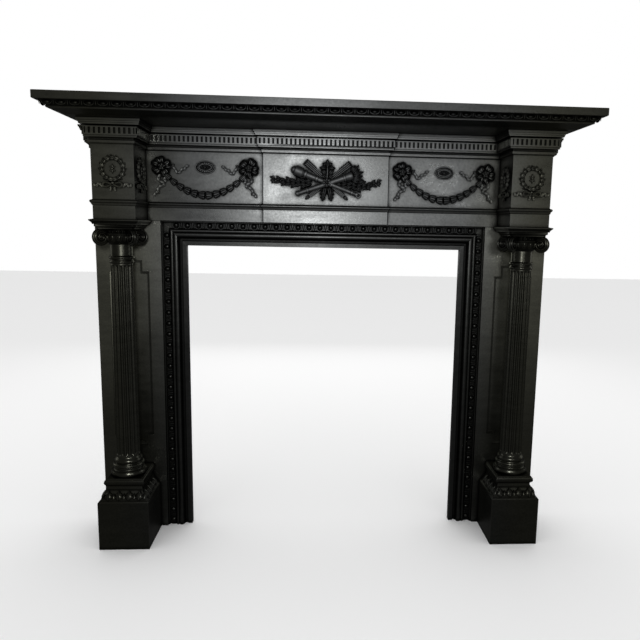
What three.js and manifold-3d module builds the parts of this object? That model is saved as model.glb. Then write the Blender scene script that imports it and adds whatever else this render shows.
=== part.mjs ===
// Cast-iron fireplace surround in the neoclassical manner, millimetres, +Z up.
// X runs left to right, Y runs into the wall. The back plane is y = 0 until the last line,
// which moves everything forward by half the depth so the origin is the middle of the foot.
import * as THREE from "three";
import { mergeVertices } from "three/addons/utils/BufferGeometryUtils.js";
import Module from "manifold-3d";

const wasm = await Module();
wasm.setup();

// Overall sizes
const SHELF_HALF = 820;
const DEPTH = 336;
const HEIGHT = 1410;
const OVERHANG = 115;
const GAP = 0.3;
const CUT = 1;

// Heights of the courses, shelf downwards
const SHELF_TALL = 56;
const CORNICE_TALL = 22;
const DENTIL_TALL = 25;
const CYMA_TALL = 28;
const FRIEZE_TALL = 158;
const BAND_TALL = 59;
const IMPOST_TALL = 16;
const CAPITAL_TALL = 62;
const NECK_TALL = 60;
const BASE_TALL = 66;
const PEDESTAL_TOP = 233;

// Levels of the joints
const SHELF_BOTTOM = HEIGHT - SHELF_TALL;
const DENTIL_TOP = SHELF_BOTTOM - CORNICE_TALL;
const DENTIL_BOTTOM = DENTIL_TOP - DENTIL_TALL;
const FRIEZE_TOP = DENTIL_BOTTOM - CYMA_TALL;
const FRIEZE_BOTTOM = FRIEZE_TOP - FRIEZE_TALL;
const BAND_BOTTOM = FRIEZE_BOTTOM - BAND_TALL;
const IMPOST_BOTTOM = BAND_BOTTOM - IMPOST_TALL;
const CAPITAL_BOTTOM = IMPOST_BOTTOM - CAPITAL_TALL;
const SHAFT_HIGH = CAPITAL_BOTTOM - NECK_TALL;
const SHAFT_LOW = PEDESTAL_TOP + BASE_TALL;

// Plan of the front, shelf end inwards
const BLOCK_WIDE = 126;
const SIDE_REVEAL = 46;
const JAMB_REVEAL = 38;
const SLIP_WIDE = 81;
const TABLET_HALF = 204;
const BLOCK_OUTER = SHELF_HALF - OVERHANG;
const BLOCK_INNER = BLOCK_OUTER - BLOCK_WIDE;
const MAIN_HALF = BLOCK_OUTER + SIDE_REVEAL;
const JAMB_INNER = BLOCK_INNER - JAMB_REVEAL;

// Distances of the faces from the wall
const JAMB_DEPTH = 74;
const MAIN_STEP = 4;
const TABLET_STEP = 10;
const COLUMN_SET = 86;
const SLIP_SET = 6;
const SLIP_BACK = 36;
const BLOCK_DEPTH = DEPTH - OVERHANG;
const MAIN_DEPTH = JAMB_DEPTH + MAIN_STEP;
const TABLET_DEPTH = MAIN_DEPTH + TABLET_STEP;
const COLUMN_DEPTH = JAMB_DEPTH + COLUMN_SET;
const SLIP_FRONT = JAMB_DEPTH - SLIP_SET;

// Projections of the mouldings from their own faces
const BED = 29;
const DENTIL_P = 17;
const LOWER_BEAD = 7;
const IMPOST_P = 11;

// Columns and pedestals
const COLUMN_X = BLOCK_OUTER - BLOCK_WIDE / 2 + 1;
const SHAFT_TOP_R = 33.5;
const SHAFT_FOOT_R = 37;
const FLUTES = 16;
const PEDESTAL_HALF = 80;

// Repeats
const SLOT_PITCH = 15;
const SLOT_WIDTH = 8;
const SLOT_DEEP = 7;
const SLOT_LIP_LOW = 2;
const SLOT_LIP_HIGH = 7;
const SHELF_EGG_PITCH = 38;
const SLIP_EGG_PITCH = 37;

// Ornament is drawn at these sizes and scaled with its own moulding
const ORNAMENT = FRIEZE_TALL / 158;
const SHELF_EGG = SHELF_TALL / 56;
const SLIP_EGG = SLIP_WIDE / 81;
const LEAF = PEDESTAL_HALF / 80;

// Solid helpers
function solid(geometry) {
  const bare = new THREE.BufferGeometry();
  bare.setAttribute("position", geometry.getAttribute("position").clone());
  if (geometry.index) {
    bare.setIndex(geometry.index.clone());
  }
  const merged = mergeVertices(bare, 1e-4);
  const mesh = new wasm.Mesh({
    numProp: 3,
    vertProperties: new Float32Array(merged.getAttribute("position").array),
    triVerts: new Uint32Array(merged.index.array),
  });
  return new wasm.Manifold(mesh);
}

function loft(rings, flat) {
  const n = flat.length;
  const positions = rings.flat(2);
  const index = [];
  for (let level = 0; level < rings.length - 1; level += 1) {
    for (let i = 0; i < n; i += 1) {
      const a = level * n + i;
      const b = level * n + ((i + 1) % n);
      index.push(a, b, b + n);
      index.push(a, b + n, a + n);
    }
  }
  const outline = flat.map((p) => new THREE.Vector2(p[0], p[1]));
  const last = (rings.length - 1) * n;
  const faces = THREE.ShapeUtils.triangulateShape(outline, []);
  const clockwise = THREE.ShapeUtils.isClockWise(outline);
  for (const [a, b, c] of faces.map((f) => (clockwise ? [f[2], f[1], f[0]] : f))) {
    index.push(c, b, a);
    index.push(last + a, last + b, last + c);
  }
  if (signedVolume(positions, index) < 0) {
    index.reverse();
  }
  const geometry = new THREE.BufferGeometry();
  geometry.setAttribute("position", new THREE.Float32BufferAttribute(positions, 3));
  geometry.setIndex(index);
  return solid(geometry);
}

function signedVolume(positions, index) {
  const corner = (k) => new THREE.Vector3().fromArray(positions, index[k] * 3);
  let sum = 0;
  for (let k = 0; k < index.length; k += 3) {
    sum += corner(k).dot(corner(k + 1).cross(corner(k + 2)));
  }
  return sum;
}

function planLoft(plan, profile) {
  const rings = profile.map(([z, p]) => plan(p).map(([x, y]) => [x, y, z]));
  return loft(rings, plan(profile[0][1]));
}

// A moulding drawn as shares of its own height and reach, from one level upwards
function moulding(z, tall, reach, shares) {
  return shares.map(([up, out]) => [z + tall * up, reach * out]);
}

function block(x0, x1, y0, y1, z0, z1) {
  const shape = new THREE.BoxGeometry(x1 - x0, y1 - y0, z1 - z0);
  shape.translate((x0 + x1) / 2, (y0 + y1) / 2, (z0 + z1) / 2);
  return solid(shape);
}

function union(list) {
  return list.reduce((sum, piece) => sum.add(piece));
}

function lathe(profile, x, depth, segments) {
  const rings = profile.map(([z, r]) => {
    const ring = [];
    for (let i = 0; i < segments; i += 1) {
      const angle = (2 * Math.PI * i) / segments;
      ring.push([x + r * Math.cos(angle), -depth + r * Math.sin(angle), z]);
    }
    return ring;
  });
  return loft(rings, rings[0]);
}

// A face frame places ornament drawn as right, up, outward on any upright face
function face(x, depth, z, turn, unit = 1) {
  const upright = new THREE.Matrix4().makeRotationX(Math.PI / 2);
  const turned = new THREE.Matrix4().makeRotationZ(turn);
  const moved = new THREE.Matrix4().makeTranslation(x, -depth, z);
  const scaled = new THREE.Matrix4().makeScale(unit, unit, unit);
  return moved.multiply(turned).multiply(upright).multiply(scaled);
}

function lump(frame, x, y, size, angle = 0, shape = new THREE.OctahedronGeometry(1, 0)) {
  const local = new THREE.Matrix4().makeTranslation(x, y, 0);
  local.multiply(new THREE.Matrix4().makeRotationZ(angle));
  local.multiply(new THREE.Matrix4().makeScale(size[0], size[1], size[2]));
  const geometry = shape.clone();
  geometry.applyMatrix4(new THREE.Matrix4().multiplyMatrices(frame, local));
  return solid(geometry);
}

function bar(frame, from, to, width, height, sink = 2) {
  const length = Math.hypot(to[0] - from[0], to[1] - from[1]);
  const angle = Math.atan2(to[1] - from[1], to[0] - from[0]);
  const shape = new THREE.BoxGeometry(length, width, height + sink);
  shape.translate(length / 2, 0, (height - sink) / 2);
  shape.rotateZ(angle);
  shape.translate(from[0], from[1], 0);
  shape.applyMatrix4(frame);
  return solid(shape);
}

function mirrored(manifold) {
  return manifold.mirror([1, 0, 0]);
}

// Entablature: one casting with end blocks, side panels and a centre tablet
const entablatureProfile = [
  ...moulding(BAND_BOTTOM, BAND_TALL, LOWER_BEAD, [
    [0, 0], [0.68, 0], [0.71, 0.3], [0.8, 0.43], [0.83, 1], [0.95, 1], [1, 0],
  ]),
  ...moulding(FRIEZE_TOP, CYMA_TALL, DENTIL_P, [
    [0, 0], [0.2, 0.24], [0.43, 0.24], [0.46, 0.08], [0.7, 0.08], [0.7, 0.35], [0.9, 0.65], [1, 0.7],
  ]),
  ...moulding(DENTIL_BOTTOM, DENTIL_TALL, DENTIL_P, [[0, 1], [1, 1]]),
  ...moulding(DENTIL_TOP, CORNICE_TALL, BED, [
    [0, 0.3], [0.4, 0.3], [0.4, 0.8], [0.7, 0.92], [0.73, 1], [1, 1],
  ]),
];

function entablaturePlan(p) {
  const half = [
    [TABLET_HALF + p, -(TABLET_DEPTH + p)],
    [TABLET_HALF + p, -(MAIN_DEPTH + p)],
    [BLOCK_INNER - p, -(MAIN_DEPTH + p)],
    [BLOCK_INNER - p, -(BLOCK_DEPTH + p)],
    [BLOCK_OUTER + p, -(BLOCK_DEPTH + p)],
    [BLOCK_OUTER + p, -(MAIN_DEPTH + p)],
    [MAIN_HALF + p, -(MAIN_DEPTH + p)],
    [MAIN_HALF + p, 0],
  ];
  const other = half.map(([x, y]) => [-x, y]).reverse();
  return [...other, ...half];
}

function dentilSlots() {
  const low = DENTIL_BOTTOM + SLOT_LIP_LOW;
  const high = DENTIL_TOP - SLOT_LIP_HIGH;
  const slots = [];
  const alongX = (x0, x1, depth) => {
    const count = Math.round((x1 - x0) / SLOT_PITCH);
    const pitch = (x1 - x0) / count;
    for (let i = 0; i < count; i += 1) {
      const x = x0 + pitch * (i + 0.5);
      slots.push(block(x - SLOT_WIDTH / 2, x + SLOT_WIDTH / 2, -depth - CUT, -depth + SLOT_DEEP, low, high));
    }
  };
  const alongY = (d0, d1, x, side) => {
    const count = Math.round((d1 - d0) / SLOT_PITCH);
    const pitch = (d1 - d0) / count;
    for (let i = 0; i < count; i += 1) {
      const y = -(d0 + pitch * (i + 0.5));
      const reach = [x - side * SLOT_DEEP, x + side * CUT].sort((a, b) => a - b);
      slots.push(block(reach[0], reach[1], y - SLOT_WIDTH / 2, y + SLOT_WIDTH / 2, low, high));
    }
  };
  alongX(-TABLET_HALF - DENTIL_P, TABLET_HALF + DENTIL_P, TABLET_DEPTH + DENTIL_P);
  for (const side of [-1, 1]) {
    const run = (a, b, depth) => alongX(Math.min(side * a, side * b), Math.max(side * a, side * b), depth);
    run(TABLET_HALF + DENTIL_P, BLOCK_INNER - DENTIL_P, MAIN_DEPTH + DENTIL_P);
    run(BLOCK_INNER - DENTIL_P, BLOCK_OUTER + DENTIL_P, BLOCK_DEPTH + DENTIL_P);
    run(BLOCK_OUTER + DENTIL_P, MAIN_HALF + DENTIL_P, MAIN_DEPTH + DENTIL_P);
    alongY(MAIN_DEPTH + DENTIL_P, BLOCK_DEPTH + DENTIL_P, side * (BLOCK_INNER - DENTIL_P), -side);
    alongY(MAIN_DEPTH + DENTIL_P, BLOCK_DEPTH + DENTIL_P, side * (BLOCK_OUTER + DENTIL_P), side);
  }
  return slots;
}

// Wreath with a tied ribbon below, for the three open faces of an end block
const WREATH_Z = FRIEZE_BOTTOM + 0.57 * FRIEZE_TALL;

function wreath(frame) {
  const pieces = [];
  const ring = new THREE.TorusGeometry(34.5, 7.5, 4, 14);
  ring.applyMatrix4(frame);
  pieces.push(solid(ring));
  pieces.push(lump(frame, 0, 7, [9, 10, 6]));
  pieces.push(lump(frame, 0, -9, [10, 9, 6]));
  pieces.push(lump(frame, 0, -44, [6, 6, 8]));
  for (const side of [-1, 1]) {
    pieces.push(lump(frame, side * 13, -48, [13, 7, 6], side * 0.35));
    pieces.push(lump(frame, side * 29, -51, [13, 7, 5], -side * 0.4));
    pieces.push(lump(frame, side * 45, -50, [9, 7, 4], side * 0.3));
  }
  return pieces;
}

// Festoon of husks between two ribbon knots, for a side panel
const KNOT_MARGIN = 47.5;
const PANEL_HALF = (BLOCK_INNER - TABLET_HALF) / 2;
const KNOT_X = (PANEL_HALF - KNOT_MARGIN) / ORNAMENT;
const FESTOON_Z = FRIEZE_BOTTOM + 0.7 * FRIEZE_TALL;
const SWAG_HALF = KNOT_X - 22;
const SWAG_DROP = 86;
const SWAG_RISE = 56;
const HUSKS = 12;
const LOOPS = 6;

function festoon(frame) {
  const pieces = [];
  for (let i = 0; i < HUSKS; i += 1) {
    const t = -1 + (2 * i) / (HUSKS - 1);
    const slope = Math.atan((2 * SWAG_RISE * t) / SWAG_HALF);
    const swell = 1 - 0.25 * Math.abs(t);
    const middle = SWAG_RISE * t * t - SWAG_DROP;
    pieces.push(lump(frame, SWAG_HALF * t, middle, [14.5, 13 * swell, 10 * swell], slope));
  }
  for (const side of [-1, 1]) {
    const x = side * KNOT_X;
    for (let k = 0; k < LOOPS; k += 1) {
      const angle = (2 * Math.PI * k) / LOOPS + 0.4;
      const loop = [x + 19 * Math.cos(angle), 3 + 19 * Math.sin(angle)];
      pieces.push(lump(frame, loop[0], loop[1], [14, 12, 8], angle));
    }
    pieces.push(lump(frame, x, 3, [13, 13, 11]));
    const tail = [[-4, -38, 7, 12, -0.5], [-9, -55, 7, 10, 0.5], [5, -69, 7, 12, -0.6], [12, -84, 5, 9, 0.3]];
    const ribbon = [[-36, -1, 8, 9, 0], [-46, -17, 10, 6, 0.4], [-60, -8, 11, 6, -0.6], [-76, 4, 11, 5, -0.5]];
    for (const [dx, y, wide, tall, lean] of [...tail, ...ribbon]) {
      pieces.push(lump(frame, x + side * dx, y, [wide, tall, 5], side * lean));
    }
  }
  const boss = new THREE.CylinderGeometry(0.7, 1, 1, 12);
  boss.rotateX(Math.PI / 2);
  pieces.push(lump(frame, 0, 3, [32, 20, 8], 0, boss));
  pieces.push(lump(frame, 0, 3, [24, 13, 13], 0, boss));
  return pieces;
}

// Trophy of a crossed quiver and torch, two sheaves of arrows and laurel branches, for the centre tablet
const TROPHY_Z = FRIEZE_BOTTOM + 0.48 * FRIEZE_TALL;

function trophy(frame) {
  const pieces = [];
  const taper = (from, to, r0, r1) => {
    const length = Math.hypot(to[0] - from[0], to[1] - from[1]);
    const shape = new THREE.CylinderGeometry(r1, r0, length, 8);
    shape.rotateY(Math.PI / 8);
    shape.translate(0, length / 2, 0);
    shape.rotateZ(Math.atan2(to[1] - from[1], to[0] - from[0]) - Math.PI / 2);
    shape.translate(from[0], from[1], 2);
    shape.applyMatrix4(frame);
    return solid(shape);
  };
  pieces.push(taper([101, -40], [-78, 25], 6.5, 9.5));
  pieces.push(taper([-73, 23], [-104, 35], 13, 16));
  pieces.push(lump(frame, -109, 37, [9, 10, 10]));
  pieces.push(lump(frame, 102, -40, [9, 8, 9]));
  pieces.push(taper([-96, -41], [86, 22], 6.5, 9.5));
  const flames = [[99, 24, 20, 14, 11], [112, 35, 15, 12, 10], [117, 20, 17, 10, 9], [97, 10, 14, 9, 8]];
  for (const [x, y, wide, tall, high] of flames) {
    pieces.push(lump(frame, x, y, [wide, tall, high], 0.4));
  }
  pieces.push(bar(frame, [4, 0], [-66, 60], 18, 8));
  pieces.push(bar(frame, [-2, 0], [79, 57], 20, 8.6));
  pieces.push(bar(frame, [0, 0], [-56, -48], 10, 7));
  pieces.push(bar(frame, [6, 0], [60, -46], 10, 7.6));
  pieces.push(bar(frame, [3, 0], [4, 60], 16, 9));
  pieces.push(lump(frame, 4, 64, [9, 9, 9]));
  const leaves = 8;
  for (const side of [-1, 1]) {
    pieces.push(lump(frame, 4 + side * 15, 52, [13, 7, 7], -side * 0.3));
    pieces.push(lump(frame, 4 + side * 13, 30, [12, 10, 7], side * 0.5));
    pieces.push(lump(frame, 3 + side * 12, -38, [8, 24, 9], side * 0.12));
    pieces.push(lump(frame, 3 + side * 22, -42, [9, 7, 6], side * 0.6));
    for (let k = 0; k < leaves; k += 1) {
      const x = side * (68 + 14.5 * k);
      const spread = 13 - 1.1 * k;
      const size = [14 - 0.6 * k, 7 - 0.3 * k, 7 - 0.3 * k];
      pieces.push(lump(frame, x, -3 + k + spread, size, side * 0.6));
      pieces.push(lump(frame, x, -3 + k - spread, size, -side * 0.6));
    }
    pieces.push(bar(frame, [side * 60, -4], [side * 172, 4], 6, 5));
    pieces.push(lump(frame, side * 178, 5, [10, 5, 5], side * 0.1));
  }
  pieces.push(lump(frame, 2, -3, [16, 14, 17]));
  return pieces;
}

const impostProfile = moulding(IMPOST_BOTTOM, IMPOST_TALL, IMPOST_P, [
  [0, 0.3], [0.25, 0.36], [0.5, 0.8], [0.7, 1], [0.88, 1], [1, 0],
]);

function impostPlan(p) {
  const back = -(JAMB_DEPTH + GAP);
  const front = -(BLOCK_DEPTH + p);
  return [
    [BLOCK_INNER - p, back],
    [BLOCK_INNER - p, front],
    [BLOCK_OUTER + p, front],
    [BLOCK_OUTER + p, back],
  ];
}

function entablature() {
  const impost = planLoft(impostPlan, impostProfile);
  const body = planLoft(entablaturePlan, entablatureProfile)
    .add(impost)
    .add(mirrored(impost));
  const relief = [];
  for (const side of [-1, 1]) {
    const middle = (BLOCK_INNER + BLOCK_OUTER) / 2;
    const between = (MAIN_DEPTH + BLOCK_DEPTH) / 2;
    const quarter = (side * Math.PI) / 2;
    relief.push(...wreath(face(side * middle, BLOCK_DEPTH, WREATH_Z, 0, ORNAMENT)));
    relief.push(...wreath(face(side * BLOCK_OUTER, between, WREATH_Z, quarter, ORNAMENT)));
    relief.push(...wreath(face(side * BLOCK_INNER, between, WREATH_Z, -quarter, ORNAMENT)));
    const panel = TABLET_HALF + PANEL_HALF;
    relief.push(...festoon(face(side * panel, MAIN_DEPTH, FESTOON_Z, 0, ORNAMENT)));
  }
  relief.push(...trophy(face(0, TABLET_DEPTH, TROPHY_Z, 0, ORNAMENT)));
  return body.subtract(union(dentilSlots())).add(union(relief));
}

// Mantel shelf: a fascia over an egg band and a flat soffit
function shelf() {
  const plan = (inset) => [
    [-SHELF_HALF + inset, 0],
    [-SHELF_HALF + inset, -DEPTH + inset],
    [SHELF_HALF - inset, -DEPTH + inset],
    [SHELF_HALF - inset, 0],
  ];
  const under = moulding(SHELF_BOTTOM, SHELF_TALL, OVERHANG - BED, [
    [0, 1], [0.05, 0.78], [0.14, 0.56], [0.25, 0.4], [0.25, 0.33], [0.357, 0.33],
  ]);
  const eggs = [];
  const [eggLow, eggHigh] = moulding(SHELF_BOTTOM, SHELF_TALL, OVERHANG, [[0.357, 0.235], [0.589, 0.104]]);
  const fascia = moulding(SHELF_BOTTOM, SHELF_TALL, OVERHANG, [
    [0.589, 0.017], [0.625, 0], [0.964, 0], [1, 0.017],
  ]);
  const profile = [...under, eggLow, eggHigh, ...fascia];
  const mid = 0.145 * OVERHANG;
  const egg = (x, depth, turn) => {
    const frame = face(x, depth, (eggLow[0] + eggHigh[0]) / 2, turn, SHELF_EGG);
    eggs.push(lump(frame, 0, 0, [13, 8, 7]));
  };
  const frontRun = 2 * (SHELF_HALF - mid);
  const frontCount = Math.round(frontRun / SHELF_EGG_PITCH);
  for (let i = 0; i < frontCount; i += 1) {
    egg(-frontRun / 2 + (frontRun / frontCount) * (i + 0.5), DEPTH - mid, 0);
  }
  const sideRun = DEPTH - mid;
  const sideCount = Math.round(sideRun / SHELF_EGG_PITCH);
  for (let i = 0; i < sideCount; i += 1) {
    for (const side of [-1, 1]) {
      const depth = (sideRun / sideCount) * (i + 0.5);
      egg(side * (SHELF_HALF - mid), depth, (side * Math.PI) / 2);
    }
  }
  return planLoft(plan, profile).add(union(eggs));
}

// Jamb: flat plate box with a sunk panel whose corners are notched
const PANEL_BORDER = 40;
const PANEL_TOP = SHAFT_HIGH + 7;
const PANEL_BOTTOM = SHAFT_LOW - 2;
const PANEL_SINK = 6;
const NOTCH_WIDE = 22;
const NOTCH_TALL = 37;
const PANEL_SLOPE = 4;

function notchedPanel(x0, x1, inset) {
  const l = x0 + inset;
  const r = x1 - inset;
  const b = PANEL_BOTTOM + inset;
  const t = PANEL_TOP - inset;
  return [
    [l + NOTCH_WIDE, b],
    [r - NOTCH_WIDE, b],
    [r - NOTCH_WIDE, b + NOTCH_TALL],
    [r, b + NOTCH_TALL],
    [r, t - NOTCH_TALL],
    [r - NOTCH_WIDE, t - NOTCH_TALL],
    [r - NOTCH_WIDE, t],
    [l + NOTCH_WIDE, t],
    [l + NOTCH_WIDE, t - NOTCH_TALL],
    [l, t - NOTCH_TALL],
    [l, b + NOTCH_TALL],
    [l + NOTCH_WIDE, b + NOTCH_TALL],
  ];
}

function jamb() {
  const x0 = JAMB_INNER + PANEL_BORDER;
  const x1 = MAIN_HALF - PANEL_BORDER;
  const body = block(JAMB_INNER, MAIN_HALF, -JAMB_DEPTH, 0, 0, BAND_BOTTOM);
  const levels = [
    [-JAMB_DEPTH - CUT, 0],
    [-JAMB_DEPTH, 0],
    [-JAMB_DEPTH + PANEL_SINK, PANEL_SLOPE],
  ];
  const rings = levels.map(([y, inset]) => notchedPanel(x0, x1, inset).map(([x, z]) => [x, y, z]));
  return body.subtract(loft(rings, notchedPanel(x0, x1, 0)));
}

// Pedestal: moulded cap over a flared leaf band and a plain block
function pedestal() {
  const back = -JAMB_DEPTH;
  const plan = (half) => [
    [COLUMN_X - half, back],
    [COLUMN_X - half, -(COLUMN_DEPTH + half)],
    [COLUMN_X + half, -(COLUMN_DEPTH + half)],
    [COLUMN_X + half, back],
  ];
  const profile = moulding(0, PEDESTAL_TOP, PEDESTAL_HALF, [
    [0, 1], [0.687, 1], [0.704, 0.96], [0.764, 0.825], [0.824, 0.725], [0.88, 0.675],
    [0.897, 0.69], [0.914, 0.74], [0.948, 0.77], [0.979, 0.74], [1, 0.7],
  ]);
  const leaves = [];
  const leafCount = 4;
  const leafZ = 0.764 * PEDESTAL_TOP;
  const spread = 0.85 * PEDESTAL_HALF;
  const reach = spread - CUT;
  for (let i = 0; i < leafCount; i += 1) {
    const offset = -spread + (2 * spread * (i + 0.5)) / leafCount;
    const depth = COLUMN_DEPTH + offset;
    const spots = [
      face(COLUMN_X + offset, COLUMN_DEPTH + reach, leafZ, 0, LEAF),
      face(COLUMN_X + reach, depth, leafZ, Math.PI / 2, LEAF),
      face(COLUMN_X - reach, depth, leafZ, -Math.PI / 2, LEAF),
    ];
    for (const spot of spots) {
      leaves.push(lump(spot, 0, 0, [15, 15, 7]));
    }
  }
  return planLoft(plan, profile).add(union(leaves));
}

// Column: ringed base, fluted shaft, astragal and plain neck
const FLUTE_DEEP = 4;
const FLUTE_HALF = 5;
const FLUTE_MARGIN = 3;
const FLUTE_RUNOUT = 8;

function column() {
  const base = lathe(moulding(PEDESTAL_TOP, BASE_TALL, SHAFT_FOOT_R, [
    [0, 1.43], [0.06, 1.51], [0.21, 1.51], [0.29, 1.32], [0.41, 1.24], [0.455, 1.35],
    [0.59, 1.35], [0.64, 1.16], [0.76, 1.19], [0.85, 1.16], [1, 1],
  ]), COLUMN_X, COLUMN_DEPTH, FLUTES);
  const shaft = lathe([
    [SHAFT_LOW - CUT, SHAFT_FOOT_R],
    [SHAFT_HIGH + CUT, SHAFT_TOP_R],
  ], COLUMN_X, COLUMN_DEPTH, FLUTES);
  const neck = lathe(moulding(SHAFT_HIGH, NECK_TALL, SHAFT_TOP_R, [
    [0, 0.985], [0.067, 1.12], [0.25, 1.03], [0.283, 1.15], [0.367, 1.15], [0.433, 1], [1, 1],
  ]), COLUMN_X, COLUMN_DEPTH, FLUTES);
  const low = SHAFT_LOW + FLUTE_MARGIN;
  const high = SHAFT_HIGH - FLUTE_MARGIN;
  const radiusAt = (z) => SHAFT_FOOT_R + ((SHAFT_TOP_R - SHAFT_FOOT_R) * (z - low)) / (high - low);
  const flute = (i) => {
    const angle = (2 * Math.PI * (i + 0.5)) / FLUTES;
    const levels = [[low, 0.1], [low + FLUTE_RUNOUT, 1], [high - FLUTE_RUNOUT, 1], [high, 0.1]];
    const rings = levels.map(([z, share]) => {
      const flat = radiusAt(z) * Math.cos(Math.PI / FLUTES);
      const wide = FLUTE_HALF * (0.3 + 0.7 * share);
      const lip = flat + CUT;
      const shape = [[lip, -wide], [flat - FLUTE_DEEP * share, 0], [lip, wide]];
      return shape.map(([u, v]) => [
        COLUMN_X + u * Math.cos(angle) - v * Math.sin(angle),
        -COLUMN_DEPTH + u * Math.sin(angle) + v * Math.cos(angle),
        z,
      ]);
    });
    return loft(rings, rings[0]);
  };
  const flutes = [];
  for (let i = 0; i < FLUTES; i += 1) {
    flutes.push(flute(i));
  }
  return shaft.subtract(union(flutes)).add(base).add(neck);
}

// Capital: echinus, four corner scrolls and a thin abacus under the block
const SCROLL_R = 27;
const SCROLL_Z = CAPITAL_BOTTOM + 0.37 * CAPITAL_TALL;
const SCROLL_REACH = 66;
const SCROLL_THICK = 12;
const BOSS_THICK = 17;
const WEB_THICK = 11;
const ABACUS_HALF = 63;

function capital() {
  const echinus = lathe(moulding(CAPITAL_BOTTOM, CAPITAL_TALL, SHAFT_TOP_R, [
    [0, 1.03], [0.13, 1.24], [0.32, 1.54], [0.55, 1.66], [0.8, 1.6],
  ]), COLUMN_X, COLUMN_DEPTH, FLUTES);
  const abacusPlan = (half) => {
    const dip = half - 0.143 * ABACUS_HALF;
    const cut = half - 0.127 * ABACUS_HALF;
    const corners = [[-cut, -half], [0, -dip], [cut, -half], [half, -cut], [dip, 0], [half, cut],
      [cut, half], [0, dip], [-cut, half], [-half, cut], [-dip, 0], [-half, -cut]];
    return corners.map(([x, y]) => [COLUMN_X + x, -COLUMN_DEPTH + y]);
  };
  const abacus = planLoft(abacusPlan, moulding(CAPITAL_BOTTOM, CAPITAL_TALL, ABACUS_HALF, [
    [0.774, 0.92], [0.839, 0.92], [0.887, 1], [1, 1],
  ]));
  const pieces = [echinus, abacus];
  for (let k = 0; k < 4; k += 1) {
    const turn = Math.PI / 4 + (k * Math.PI) / 2;
    const x = COLUMN_X + SCROLL_REACH * Math.cos(turn);
    const depth = COLUMN_DEPTH - SCROLL_REACH * Math.sin(turn);
    const place = face(x, depth, SCROLL_Z, turn);
    const disc = new THREE.CylinderGeometry(SCROLL_R, SCROLL_R, SCROLL_THICK, 12);
    disc.rotateX(Math.PI / 2);
    pieces.push(lump(place, 0, 0, [1, 1, 1], 0, disc));
    const boss = new THREE.CylinderGeometry(SCROLL_R * 0.62, SCROLL_R * 0.62, BOSS_THICK, 8);
    boss.rotateX(Math.PI / 2);
    pieces.push(lump(place, 0, 0, [1, 1, 1], 0, boss));
    const inward = SCROLL_REACH * 0.67;
    const web = new THREE.BoxGeometry(inward, SCROLL_R, WEB_THICK);
    web.translate(-inward / 2, SCROLL_R * 0.45, 0);
    pieces.push(lump(place, 0, 0, [1, 1, 1], 0, web));
  }
  return union(pieces);
}

// Slip: moulded frame round the opening, mitred at the two upper corners
const MITRE_GAP = 1.5 * GAP;
const EGG_BAND = SLIP_WIDE * 0.2;
const EGG_SEAT = SLIP_FRONT * 0.88;
const slipSection = [
  [0, SLIP_BACK],
  ...[
    [0, 0.97], [0.06, 0.97], [0.074, 0.88], [0.32, 0.88], [0.37, 0.985], [0.444, 0.985], [0.47, 0.94],
    [0.52, 1], [0.617, 1], [0.667, 0.91], [0.716, 0.765], [0.815, 0.765], [0.827, 0.853], [1, 0.853],
  ].map(([across, out]) => [SLIP_WIDE * across, SLIP_FRONT * out]),
  [SLIP_WIDE, SLIP_BACK],
];

function headerSlip() {
  const end = (side) => slipSection.map(([s, d]) => [side * (JAMB_INNER - s), -d, BAND_BOTTOM - s]);
  const body = loft([end(-1), end(1)], slipSection);
  const run = 2 * (JAMB_INNER - EGG_BAND * 2);
  const count = Math.round(run / SLIP_EGG_PITCH);
  const eggs = [];
  for (let i = 0; i < count; i += 1) {
    const x = -run / 2 + (run / count) * (i + 0.5);
    const spot = face(x, EGG_SEAT, BAND_BOTTOM - EGG_BAND, 0, SLIP_EGG);
    eggs.push(lump(spot, 0, 0, [13, 9, 8]));
  }
  return body.add(union(eggs));
}

function sideSlip() {
  const foot = slipSection.map(([s, d]) => [JAMB_INNER - s, -d, 0]);
  const head = slipSection.map(([s, d]) => [JAMB_INNER - s, -d, BAND_BOTTOM - s - MITRE_GAP]);
  const body = loft([foot, head], slipSection);
  const run = BAND_BOTTOM - EGG_BAND * 2;
  const count = Math.round(run / SLIP_EGG_PITCH);
  const eggs = [];
  for (let i = 0; i < count; i += 1) {
    const z = (run / count) * (i + 0.5);
    const spot = face(JAMB_INNER - EGG_BAND, EGG_SEAT, z, 0, SLIP_EGG);
    eggs.push(lump(spot, 0, 0, [9, 13, 8]));
  }
  return body.add(union(eggs));
}

// Assembly
const IRON = { color: 0x3b3c3e, roughness: 0.42, metalness: 0.85 };
const DARK_IRON = { color: 0x2b2c2e, roughness: 0.46, metalness: 0.85 };

function mesh(name, manifold, look) {
  const out = manifold.getMesh();
  const geometry = new THREE.BufferGeometry();
  geometry.setAttribute("position", new THREE.BufferAttribute(new Float32Array(out.vertProperties), 3));
  geometry.setIndex(new THREE.BufferAttribute(new Uint32Array(out.triVerts), 1));
  const flat = geometry.toNonIndexed();
  flat.computeVertexNormals();
  const result = new THREE.Mesh(flat, new THREE.MeshStandardMaterial(look));
  result.name = name;
  return result;
}

const group = new THREE.Group();
group.name = "fireplace_surround";
group.add(mesh("mantel_shelf", shelf(), IRON));
group.add(mesh("entablature", entablature(), IRON));
group.add(mesh("header_slip", headerSlip(), DARK_IRON));
const pairs = [
  ["jamb", jamb(), DARK_IRON],
  ["pedestal", pedestal(), DARK_IRON],
  ["column", column(), DARK_IRON],
  ["capital", capital(), DARK_IRON],
  ["slip", sideSlip(), DARK_IRON],
];
for (const [name, piece, look] of pairs) {
  group.add(mesh(`right_${name}`, piece, look));
  group.add(mesh(`left_${name}`, mirrored(piece), look));
}
group.position.y = DEPTH / 2;
group.updateMatrixWorld(true);

export default group;
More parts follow.
